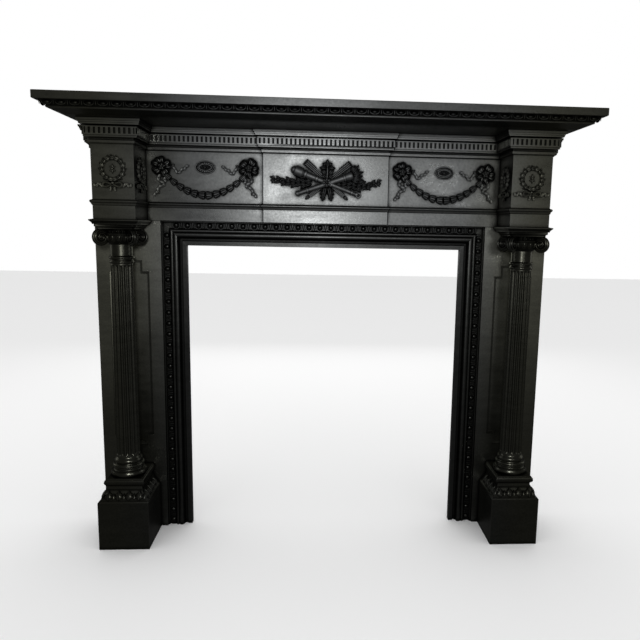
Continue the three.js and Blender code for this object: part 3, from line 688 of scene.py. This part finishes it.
def make_festoon(bm, at):
    """Twelve husks hung evenly between two knots, with an oval patera above."""
    knot_x, swag_half, drop, rise, husks = 140, 121, 86, 58, 12
    stretch = [0.0]
    fine = 200
    for k in range(fine):
        t = -1 + 2 * (k + 0.5) / fine
        stretch.append(stretch[-1] + math.hypot(swag_half, 2 * rise * t) * 2 / fine)
    for i in range(husks):
        reach = stretch[-1] * i / (husks - 1)
        t = -1 + 2 * sum(1 for s in stretch[1:] if s <= reach) / fine
        size = 1 - 0.3 * abs(t) ** 1.5
        heading = math.atan(2 * rise * t / swag_half) + (math.pi if t > 0 else 0)
        husk(bm, rotated(at, swag_half * t, rise * t * t - drop, heading), 24.5, 14.6 * size, 11.5 * size)
    for side in (-1, 1):
        make_knot(bm, rotated(at, side * knot_x, 3), side)
    rope(bm, at, oval(31, 19.6, 1.6, 0, 3), 1.3, 8)

    def patera(u, v):
        a = 2 * math.pi * u
        flute = 0.6 + 0.4 * abs(math.cos(11 * a))
        out = 3.0 * math.sin(math.pi * (0.1 + 0.8 * v)) * flute - 0.6
        return ((20 + 10 * v) * math.cos(a), 3 + (9 + 9 * v) * math.sin(a), out)
    grid_form(bm, at, 132, 6, patera, 2)
    rope(bm, at, oval(20, 9.6, 3.0, 0, 3, 40), 1.7, 8)
    for k in range(8):
        leaf(bm, rotated(at, 0, 3, 2 * math.pi * k / 8 + 0.2, lift=1), 13 if k % 4 else 19, 3.6, 6, 1)
    egg(bm, rotated(at, 0, 3, math.pi / 2), 4.0, 5, 9, 1)


def make_sheaf(bm, at, tip, back, s):
    """Three arrows bound together: points at one end, feathered at the other."""
    heading = math.atan2(back[1] - tip[1], back[0] - tip[0])
    across = Vector((-math.sin(heading), math.cos(heading)))
    for k in (-1, 0, 1):
        shift = across * (5.6 * k)
        a, b = Vector(tip) + shift * 0.6, Vector(back) + shift
        rope(bm, at, [(a.x, a.y, 3.4), (b.x, b.y, 4.2)], 2.0, 8)
        leaf(bm, rotated(at, a.x, a.y, heading + math.pi + 0.12 * k, lift=1.2), 18, 3.2, 4)
        for j in range(6):
            c = b.lerp(a, 0.045 * j)
            for w in (-1, 1):
                leaf(bm, rotated(at, c.x, c.y, heading + 0.75 * w, lift=2.2), 8.5, 2.2, 5.5)


def make_laurel(bm, at, s):
    """A leafy spray running outwards from behind the arrows."""
    sprigs = 8
    droop = 3 if s < 0 else 12
    stem = []
    for k in range(sprigs):
        t = k / (sprigs - 1)
        sag = droop * math.sin(math.pi * (0.15 + 0.75 * t))
        stem.append((s * (46 + 120 * t), -3 - sag + 8 * t * t, 0.6))
    rope(bm, at, stem, 2.0, 6, taper=lambda t: 1.1 - 0.6 * t)
    for k, (x, y, _) in enumerate(stem):
        size = 1.15 - 0.075 * k
        near = -1 if k % 2 else 1
        for w, lean, long in ((near, 0.75, 27), (-near, 0.35, 31), (near, 0.12, 26)):
            heading = w * lean if s > 0 else math.pi - w * lean
            root = rotated(at, x, y + w * 2, heading, lift=1.5 - lean)
            leaf(bm, root, long * size, 7 * size, 8 * size, 1)
        if k % 3 == 1:
            egg(bm, rotated(at, x + s * 6, y - near * 13 * size), 3.4, 3.4, 6)


def make_trophy(bm, at):
    """Crossed quiver, torch and arrows over laurel, with an upright spray and a rosette."""
    upright = ((52, 0.5, 17, 6), (44, 0.0, 25, 7), (36, -0.35, 18, 6), (20, 0.8, 28, 8), (6, 0.9, 27, 8))
    hanging = ((-22, 0.5, 16), (-32, 0.6, 18), (-42, 0.75, 17), (-52, 1.0, 13))
    for s in (-1, 1):
        make_laurel(bm, at, s)
    make_sheaf(bm, at, (58, -46), (-64, 59), -1)
    make_sheaf(bm, at, (-54, -47), (76, 56), 1)
    quiver = banded((0, 4), (0.006, 7), (0.035, 7.5), (0.04, 5), (0.09, 6, 2.4), (0.3, 7.2),
                    (0.4, 7.8, 2.0), (0.55, 8.6), (0.62, 9.2, 2.4), (0.76, 10.6), (0.79, 11.4, 2.6),
                    (0.83, 13), (0.845, 16.4), (0.93, 17), (0.945, 15.6), (0.952, 10.5), (0.975, 10.8),
                    (0.99, 9), (1.0, 4))
    turned_bar(bm, at, (104, -41), (-113, 39), quiver, 4)
    rope(bm, at, oval(7, 7, 6, 106, -42, 20), 2.4, 8)
    torch = banded((0, 5), (0.01, 8), (0.05, 8.4), (0.06, 6), (0.2, 7, 2.4), (0.42, 8.2),
                   (0.6, 8.8, 2.2), (0.75, 9.6), (0.86, 11, 2.2), (0.93, 13), (0.975, 14.5), (1.0, 12))
    turned_bar(bm, at, (-98, -42), (86, 22), torch, 5)
    for k in range(7):
        turn = 0.33 + 0.24 * (k - 3)
        for j, long in enumerate((42 - 3 * abs(k - 2) + 8 * (k % 2), 26)):
            root = rotated(at, 80 + 4 * j, 20 + 3.4 * (k - 3), turn + 0.12 * j, lift=3 + j)
            leaf(bm, root, long, 7.6, 11 - 2 * j, 1, lobes=2)
    leaf(bm, rotated(at, 4, 44, math.pi / 2, lift=2), 28, 7, 9, 1)
    rope(bm, at, [(2, 0, 4), (4, 26, 5), (4, 58, 4)], 4.2, 10, 1, taper=lambda t: 1.1 - 0.5 * t)
    egg(bm, rotated(at, 4, 62), 6, 6.5, 9, 1)
    for s in (-1, 1):
        for y, lean, long, wide in upright:
            heading = lean if s > 0 else math.pi - lean
            leaf(bm, rotated(at, 4 + s * 2, y, heading, lift=2.4), long, wide, 8, 1, lobes=2)
        ribbon_loop(bm, rotated(at, 4, 36, math.pi / 2 - s * 0.6), 20, 6, 4.5, 4)
        drop = rotated(at, 3 + s * 4, -10, -math.pi / 2 + s * 0.2, lift=2)
        leaf(bm, drop, 53, 9.5, 9, 1, lobes=4)
        for y, lean, long in hanging:
            heading = -lean if s > 0 else math.pi + lean
            leaf(bm, rotated(at, 3 + s * 10, y, heading, lift=2), long, 4.6, 7, 1)
            inward = heading - s * (math.pi - 2 * lean) * 0.6
            leaf(bm, rotated(at, 3 + s * 8, y, inward, lift=1), long * 0.5, 3.6, 6)
    petal_rosette(bm, rotated(at, 2, -3, lift=9), 15, 8, 8)


def make_reliefs():
    middle = (BLOCK_INNER + BLOCK_OUTER) / 2
    between = (MAIN_DEPTH + BLOCK_DEPTH) / 2
    for s, hand in ((-1, "left"), (1, "right")):
        spots = (("front", middle, BLOCK_DEPTH, 0), ("outer", BLOCK_OUTER, between, s * math.pi / 2),
                 ("inner", BLOCK_INNER, between, -s * math.pi / 2))
        for label, x, depth, turn in spots:
            bm = bmesh.new()
            make_wreath(bm, face_frame(s * x, depth, WREATH_Z, turn))
            finish_piece(f"{hand}_{label}_wreath", bm, [RELIEF, LEAFAGE], smooth=50)
        bm = bmesh.new()
        make_festoon(bm, face_frame(s * (TABLET_HALF + BLOCK_INNER) / 2, MAIN_DEPTH, FESTOON_Z))
        finish_piece(f"{hand}_festoon", bm, [RELIEF, LEAFAGE, GROUND], smooth=50)
    bm = bmesh.new()
    make_trophy(bm, face_frame(0, TABLET_DEPTH, TROPHY_Z))
    finish_piece("trophy", bm, [RELIEF, LEAFAGE], smooth=50)


# Jambs with notched sunk panels
def make_jamb(s, hand):
    border, top, bottom, sink, wide, tall = 40, 931, 297, 7, 22, 37
    x0, x1 = JAMB_INNER + border, MAIN_HALF - border

    def outline(inset):
        l, r, b, t = x0 + inset, x1 - inset, bottom + inset, top - inset
        return [(l + wide, b), (r - wide, b), (r - wide, b + tall), (r, b + tall),
                (r, t - tall), (r - wide, t - tall), (r - wide, t), (l + wide, t),
                (l + wide, t - tall), (l, t - tall), (l, b + tall), (l + wide, b + tall)]
    bm = bmesh.new()
    front = [(JAMB_INNER, 0), (MAIN_HALF, 0), (MAIN_HALF, BAND_BOTTOM), (JAMB_INNER, BAND_BOTTOM)]
    steps = ((0, 0), (0.6, 2.4), (7, 4.4), (7.6, 6.6), (8.4, sink))
    rim = [[place(s * x, JAMB_DEPTH - deep, z) for x, z in outline(inset)] for inset, deep in steps]
    rows = loft(bm, rim, closed=False)
    bm.faces.new(rows[-1])
    outer = [bm.verts.new(place(s * x, JAMB_DEPTH, z)) for x, z in front]
    inner = [bm.verts.new(place(s * x, 0, z)) for x, z in front]
    for i in range(4):
        j = (i + 1) % 4
        bm.faces.new((outer[i], outer[j], inner[j], inner[i]))
    bm.faces.new(inner[::-1])
    edges = [bm.edges.get((outer[i], outer[(i + 1) % 4])) for i in range(4)]
    edges += [bm.edges.get((rows[0][i], rows[0][(i + 1) % 12])) for i in range(12)]
    bmesh.ops.triangle_fill(bm, edges=edges, use_beauty=True)
    bmesh.ops.recalc_face_normals(bm, faces=bm.faces)
    finish_piece(f"{hand}_jamb_panel", bm, [JAMB], node=f"{hand}_jamb")


# Pedestals
def make_pedestal(s, hand):
    bm = bmesh.new()

    def plan(half):
        return [(s * (COLUMN_X - half), JAMB_DEPTH), (s * (COLUMN_X - half), COLUMN_DEPTH + half),
                (s * (COLUMN_X + half), COLUMN_DEPTH + half), (s * (COLUMN_X + half), JAMB_DEPTH)]
    h = PEDESTAL_HALF
    profile = [(0, h - 1), (1.5, h), (159, h), (160.5, h - 0.6), (163, h - 2.4), (164, h - 4)]
    profile += arc(165, h - 6, 192, h - 23, -1.5, 7)
    profile += [(193, h - 21.5), (197, h - 21.5), (198, h - 24), (205, h - 26), (208, h - 25.6)]
    profile += arc(209, h - 24, 213, h - 19.5, -0.6, 3)
    profile += arc(213.5, h - 19, 228, h - 19, 2, 8)
    profile += [(229, h - 21), (231, h - 22), (PEDESTAL_TOP, h - 24)]
    plan_loft(bm, plan, profile)
    spread = h - 15
    leaves = 4
    for i in range(leaves):
        offset = -spread + 2 * spread * (i + 0.5) / leaves
        for x, depth, turn in ((COLUMN_X + offset, COLUMN_DEPTH + h - 21, 0),
                               (COLUMN_X + h - 21, COLUMN_DEPTH + offset, math.pi / 2),
                               (COLUMN_X - h + 21, COLUMN_DEPTH + offset, -math.pi / 2)):
            at = face_frame(s * x, depth, 192, turn * s) @ Matrix.Rotation(-0.55, 4, "X")
            leaf(bm, rotated(at, 0, -30, math.pi / 2, lift=-1), 31, 13, 6.5, lobes=3)
            leaf(bm, rotated(at, 15.8, -30, math.pi / 2, lift=-2), 24, 6, 4.5)
            rope(bm, at, [(0, -28, 3), (0, -14, 5), (0, -2, 3)], 1.4, 6)
    finish_piece(f"{hand}_pedestal_block", bm, [BLACK], node=f"{hand}_pedestal")


# Columns
def make_column(s, hand):
    low, high = PEDESTAL_TOP + 68, 921

    def fluted(angle, z, r):
        if z <= low or z >= high:
            return r
        share = min(1, max(0, (z - low) / 7)) ** 0.5 * min(1, max(0, (high - z) / 7)) ** 0.5
        w = math.cos(FLUTES * (angle - math.pi / FLUTES))
        cut = max(0.0, (w + 0.55) / 1.55)
        return r - 3.9 * share * math.sqrt(cut)
    bm = bmesh.new()
    t = PEDESTAL_TOP
    base = [(t, 53)] + arc(t + 0.5, 53.5, t + 15.5, 53.5, 2.4, 8)
    base += [(t + 16, 52), (t + 18, 51.6), (t + 18.4, 49)]
    base += arc(t + 19, 48.4, t + 27, 46, -1.6, 5) + [(t + 27.6, 48.4), (t + 29.5, 48.4)]
    base += arc(t + 30, 48, t + 40, 47, 2.4, 7) + [(t + 40.6, 45), (t + 42, 44.4), (t + 42.4, 43)]
    base += arc(t + 43, 42.6, t + 54, 42.6, 1.6, 5) + [(t + 55, 41.6)]
    base += arc(t + 56, 41, t + 66, SHAFT_FOOT_R, -1.2, 5)
    turned(bm, base, s * COLUMN_X, COLUMN_DEPTH, 96)
    taper = (SHAFT_TOP_R - SHAFT_FOOT_R) / (high - low)
    steps = [low - 3, low, low + 0.6, low + 1.5, low + 3, low + 5, low + 7]
    steps += [low + 7 + (high - low - 14) * k / 12 for k in range(1, 12)]
    steps += [high - 7, high - 5, high - 3, high - 1.5, high - 0.6, high, high + 4]
    shaft = [(z, SHAFT_FOOT_R + taper * (z - low)) for z in steps]
    turned(bm, shaft, s * COLUMN_X, COLUMN_DEPTH, FLUTES * 12, fluted)
    r = SHAFT_TOP_R
    neck = [(high + 3, r - 0.5), (high + 4.5, r + 1.5)] + arc(high + 5, r + 2.2, high + 14, r + 1.6, 1.8, 6)
    neck += [(high + 15, r + 0.8), (high + 18, r + 0.6), (high + 18.6, r + 3.2)]
    neck += arc(high + 19, r + 3.6, high + 26, r + 3.6, 1.8, 6)
    neck += [(high + 27, r + 2), (high + 28, r + 0.6), (high + 30, r), (CAPITAL_BOTTOM, r)]
    turned(bm, neck, s * COLUMN_X, COLUMN_DEPTH, 96)
    finish_piece(f"{hand}_fluted_column", bm, [POLISHED], node=f"{hand}_column", smooth=40)


# Capitals
def scroll(bm, at, radius, thick):
    """A rounded disc with a spiral rib on both faces, in the frame's right and up."""
    rings = []
    for level, share in ((-1, 0.78), (-0.9, 0.92), (-0.5, 1), (0.5, 1), (0.9, 0.92), (1, 0.78)):
        r = radius * share
        rings.append([at @ Vector(point) for point in oval(r, r, thick * level, steps=40)[:-1]])
    loft(bm, rings)
    for side in (-1, 1):
        path = []
        for k in range(74):
            a = k * 2 * math.pi / 27
            r = radius * 0.86 * math.exp(-0.115 * a)
            spin = math.pi / 2 - a
            path.append((r * math.cos(spin), r * math.sin(spin), side * (thick + 0.6 + 0.05 * k)))
        rope(bm, at, path, 2.5, 8, taper=lambda t: 1.1 - 0.55 * t)
        eye = at if side > 0 else at @ Matrix.Rotation(math.pi, 4, "Y")
        egg(bm, eye @ Matrix.Translation((0, 0, thick)), 4.6, 4.6, 6.5)


def make_capital(s, hand):
    bm = bmesh.new()
    b, r = CAPITAL_BOTTOM, SHAFT_TOP_R
    echinus = [(b, r + 0.6), (b + 3, r + 3)] + arc(b + 4, r + 4, b + 30, r + 20, 4, 10)
    echinus += [(b + 34, r + 22), (b + 35.5, r + 8), (b + 50, r + 7)]
    # The echinus, its leaves and the abacus take the darker copy as painted shade
    turned(bm, echinus, s * COLUMN_X, COLUMN_DEPTH, 72, material=1)

    def round_axis(k, count, reach, z):
        """The face's frame at one of some even places round the column."""
        a = 2 * math.pi * (k + 0.5) / count
        depth = COLUMN_DEPTH - reach * math.sin(a)
        return face_frame(s * COLUMN_X + reach * math.cos(a), depth, z, a + math.pi / 2)

    cup = [(-7, 10, 1), (-6.6, 0, 1.4), (-4.4, -8, 1), (0, -11, 0.6), (4.4, -8, 1), (6.6, 0, 1.4),
           (7, 10, 1)]
    for k in range(16):
        at = round_axis(k, 16, r + 15, b + 20) @ Matrix.Rotation(0.45, 4, "X")
        egg(bm, at, 5.2, 9.5, 6)
        rope(bm, at, cup, 1.2, 6)
    for k in range(22):
        leaf(bm, rotated(round_axis(k, 22, r + 6, b + 31), 0, 0, math.pi / 2), 17, 5.4, 6, 1)

    def plan(p):
        points = []
        for q in range(4):
            turn = q * math.pi / 2
            for k in range(9):
                t = -1 + k / 4
                x, y = (p - 8) * t, -(p - 9 * (1 - t * t))
                points.append((s * COLUMN_X + x * math.cos(turn) - y * math.sin(turn),
                               COLUMN_DEPTH - (x * math.sin(turn) + y * math.cos(turn))))
        return points
    top, half = IMPOST_BOTTOM, 63
    abacus = [(top - 14, half - 5.4), (top - 13, half - 5), (top - 10.5, half - 5)]
    abacus += arc(top - 10, half - 4.6, top - 7, half - 0.6, -0.6, 3)
    abacus += [(top - 6.4, half), (top - 0.6, half), (top, half - 0.6)]
    plan_loft(bm, plan, abacus, 1)
    for q in range(4):
        turn = math.pi / 4 + q * math.pi / 2
        depth = COLUMN_DEPTH - SCROLL_REACH * math.sin(turn)
        at = face_frame(s * COLUMN_X + SCROLL_REACH * math.cos(turn), depth, SCROLL_Z, turn)
        scroll(bm, at, SCROLL_R, 5.6)
        arch = [(-62, 21, 0), (-48, 22.5, 0), (-34, 24.5, 0), (-18, 26.5, 0), (-6, 26.4, 0), (0, 26, 0)]
        for w in (-1, 1):
            rope(bm, at, [(x0, y0 - 3.5, w * 4.2) for x0, y0, _ in arch], 2.6, 8)
        rope(bm, at, [(x0, y0 - 8, 0) for x0, y0, _ in arch], 6.5, 8)
    finish_piece(f"{hand}_ionic_capital", bm, [BLACK, SHADED], node=f"{hand}_capital", smooth=45)


# Slips round the opening
SLIP_SECTION = [(0, 36), (0, 65.4), (0.6, 66), (4.4, 66), (5, 65.4), (6, 60), (8, 58.6), (24, 58.6),
                (26, 60), (29, 65), (30.4, 66.8), (33, 67.4), (35.6, 66.8), (37, 64.4), (38, 64),
                (39.4, 65), (41, 67.4), (44, 68.4), (48, 68.4), (51, 67.4), (53, 64.4), (54.4, 60),
                (57, 53), (59, 51.6), (65, 51.6), (66, 53), (66.6, 57.4), (67.4, 58), (80.4, 58),
                (81, 57.4), (81, 36)]


def make_slips():
    top, gap, band, egg_face = BAND_BOTTOM, 0.45, 16, 58.6
    bm = bmesh.new()
    loft(bm, [[place(side * (JAMB_INNER - q), d, top - q) for q, d in SLIP_SECTION] for side in (-1, 1)])

    def unit(mesh, at, pitch):
        """An egg in its shell and the dart beside it."""
        egg(mesh, at, 7.6, 9.4, 7.4)
        shell = oval(11.4, 10.6, 1.2, 0, 0.6, 12, (0.5, 1))
        # Shell and dart take the darker copy as painted shade
        rope(mesh, at, [(-11.4, 8, 1.2)] + shell + [(11.4, 8, 1.2)], 1.4, 6, 1)
        rope(mesh, at, [(pitch / 2, 9, 1.6), (pitch / 2, 0, 2.6), (pitch / 2, -9.5, 0.6)], 2.4, 6, 1,
             taper=lambda t: 1.1 - 0.8 * t)
    run = 2 * (JAMB_INNER - 30)
    count = round(run / SLIP_EGG_PITCH)
    for i in range(count):
        unit(bm, face_frame(-run / 2 + run / count * (i + 0.5), egg_face, top - band), run / count)
    finish_piece("header_moulding", bm, [BLACK, SHADED], node="header_slip")
    for s, hand in ((-1, "left"), (1, "right")):
        bm = bmesh.new()
        loft(bm, [[place(s * (JAMB_INNER - q), d, 0) for q, d in SLIP_SECTION],
                  [place(s * (JAMB_INNER - q), d, top - q - gap) for q, d in SLIP_SECTION]])
        run = top - 30
        count = round(run / SLIP_EGG_PITCH)
        for i in range(count):
            at = face_frame(s * (JAMB_INNER - band), egg_face, run / count * (i + 0.5))
            unit(bm, at @ Matrix.Rotation(s * math.pi / 2, 4, "Z"), run / count)
        finish_piece(f"{hand}_slip_moulding", bm, [BLACK, SHADED], node=f"{hand}_slip")


make_shelf()
make_entablature()
make_imposts()
make_reliefs()
for side, hand in ((-1, "left"), (1, "right")):
    make_jamb(side, hand)
    make_pedestal(side, hand)
    make_column(side, hand)
    make_capital(side, hand)
make_slips()


# Floor, light and camera
def make_stage():
    bm = bmesh.new()
    bmesh.ops.create_grid(bm, x_segments=1, y_segments=1, size=12)
    mesh = bpy.data.meshes.new("studio_floor")
    bm.to_mesh(mesh)
    bm.free()
    floor = bpy.data.objects.new("studio_floor", mesh)
    bpy.context.scene.collection.objects.link(floor)
    f = Finish("pale_floor")
    f.shader.inputs["Base Color"].default_value = (0.86, 0.86, 0.86, 1)
    f.shader.inputs["Roughness"].default_value = 0.9
    mesh.materials.append(f.material)
    floor.visible_glossy = False


def light(name, where, target, size, power, tall=None):
    data = bpy.data.lights.new(name, "AREA")
    data.shape = "RECTANGLE"
    data.size = size
    data.size_y = tall or size
    data.energy = power
    lamp = bpy.data.objects.new(name, data)
    lamp.location = where
    lamp.visible_camera = False
    lamp.rotation_euler = (Vector(target) - Vector(where)).to_track_quat("-Z", "Y").to_euler()
    bpy.context.scene.collection.objects.link(lamp)


def make_studio():
    world = bpy.data.worlds.new("studio")
    bpy.context.scene.world = world
    world.use_nodes = True
    tree = world.node_tree
    back = tree.nodes["Background"]
    back.inputs["Color"].default_value = (1, 1, 1, 1)
    back.inputs["Strength"].default_value = 0.035
    bright = tree.nodes.new("ShaderNodeBackground")
    bright.inputs["Color"].default_value = (1, 1, 1, 1)
    bright.inputs["Strength"].default_value = 1.0
    path = tree.nodes.new("ShaderNodeLightPath")
    mix = tree.nodes.new("ShaderNodeMixShader")
    tree.links.new(path.outputs["Is Glossy Ray"], mix.inputs[0])
    tree.links.new(bright.outputs[0], mix.inputs[1])
    tree.links.new(back.outputs[0], mix.inputs[2])
    tree.links.new(mix.outputs[0], tree.nodes["World Output"].inputs["Surface"])
    light("front_light", (-0.09, WALL_Y - 2.6, 1.3), (-0.08, 0, 1.1), 0.34, 6.1, 0.26)
    light("side_light", (0.88, WALL_Y - 2.6, 1.28), (0.4, 0, 1.2), 0.3, 1.1)
    light("back_fill", (0, WALL_Y + 2.9, 1.9), (0, WALL_Y, 1.0), 3.6, 16, 2.4)
    for side, hand in ((-1, "left"), (1, "right")):
        where, target = (side * 3.0, WALL_Y + 0.75, 1.4), (side * 0.7, WALL_Y - 0.1, 0.9)
        light(f"{hand}_fill", where, target, 1.2, 2.2, 2.0)


def make_camera():
    """The fitted camera: a level turn, a look down and a slight roll."""
    focal, across, up, picture = 623.7, -34.8, 1.5, 640
    eye = (-0.0351, WALL_Y - 2.1789, 1.0477)
    data = bpy.data.cameras.new("camera")
    data.sensor_width = 36
    data.sensor_fit = "HORIZONTAL"
    data.lens = focal * data.sensor_width / picture
    data.shift_x = across / picture
    data.shift_y = up / picture
    camera = bpy.data.objects.new("camera", data)
    yaw, pitch, roll = (math.radians(a) for a in (3.78, 8.49, -1.09))
    ahead = Vector((math.sin(yaw) * math.cos(pitch), math.cos(yaw) * math.cos(pitch), -math.sin(pitch)))
    right = Vector((math.cos(yaw), -math.sin(yaw), 0))
    down = ahead.cross(right)
    rolled_right = right * math.cos(roll) + down * math.sin(roll)
    rolled_down = down * math.cos(roll) - right * math.sin(roll)
    turn = Matrix((rolled_right, -rolled_down, -ahead)).transposed()
    camera.matrix_world = Matrix.Translation(eye) @ turn.to_4x4()
    bpy.context.scene.collection.objects.link(camera)
    bpy.context.scene.camera = camera


bpy.context.scene.view_settings.view_transform = "Standard"
make_stage()
make_studio()
make_camera()
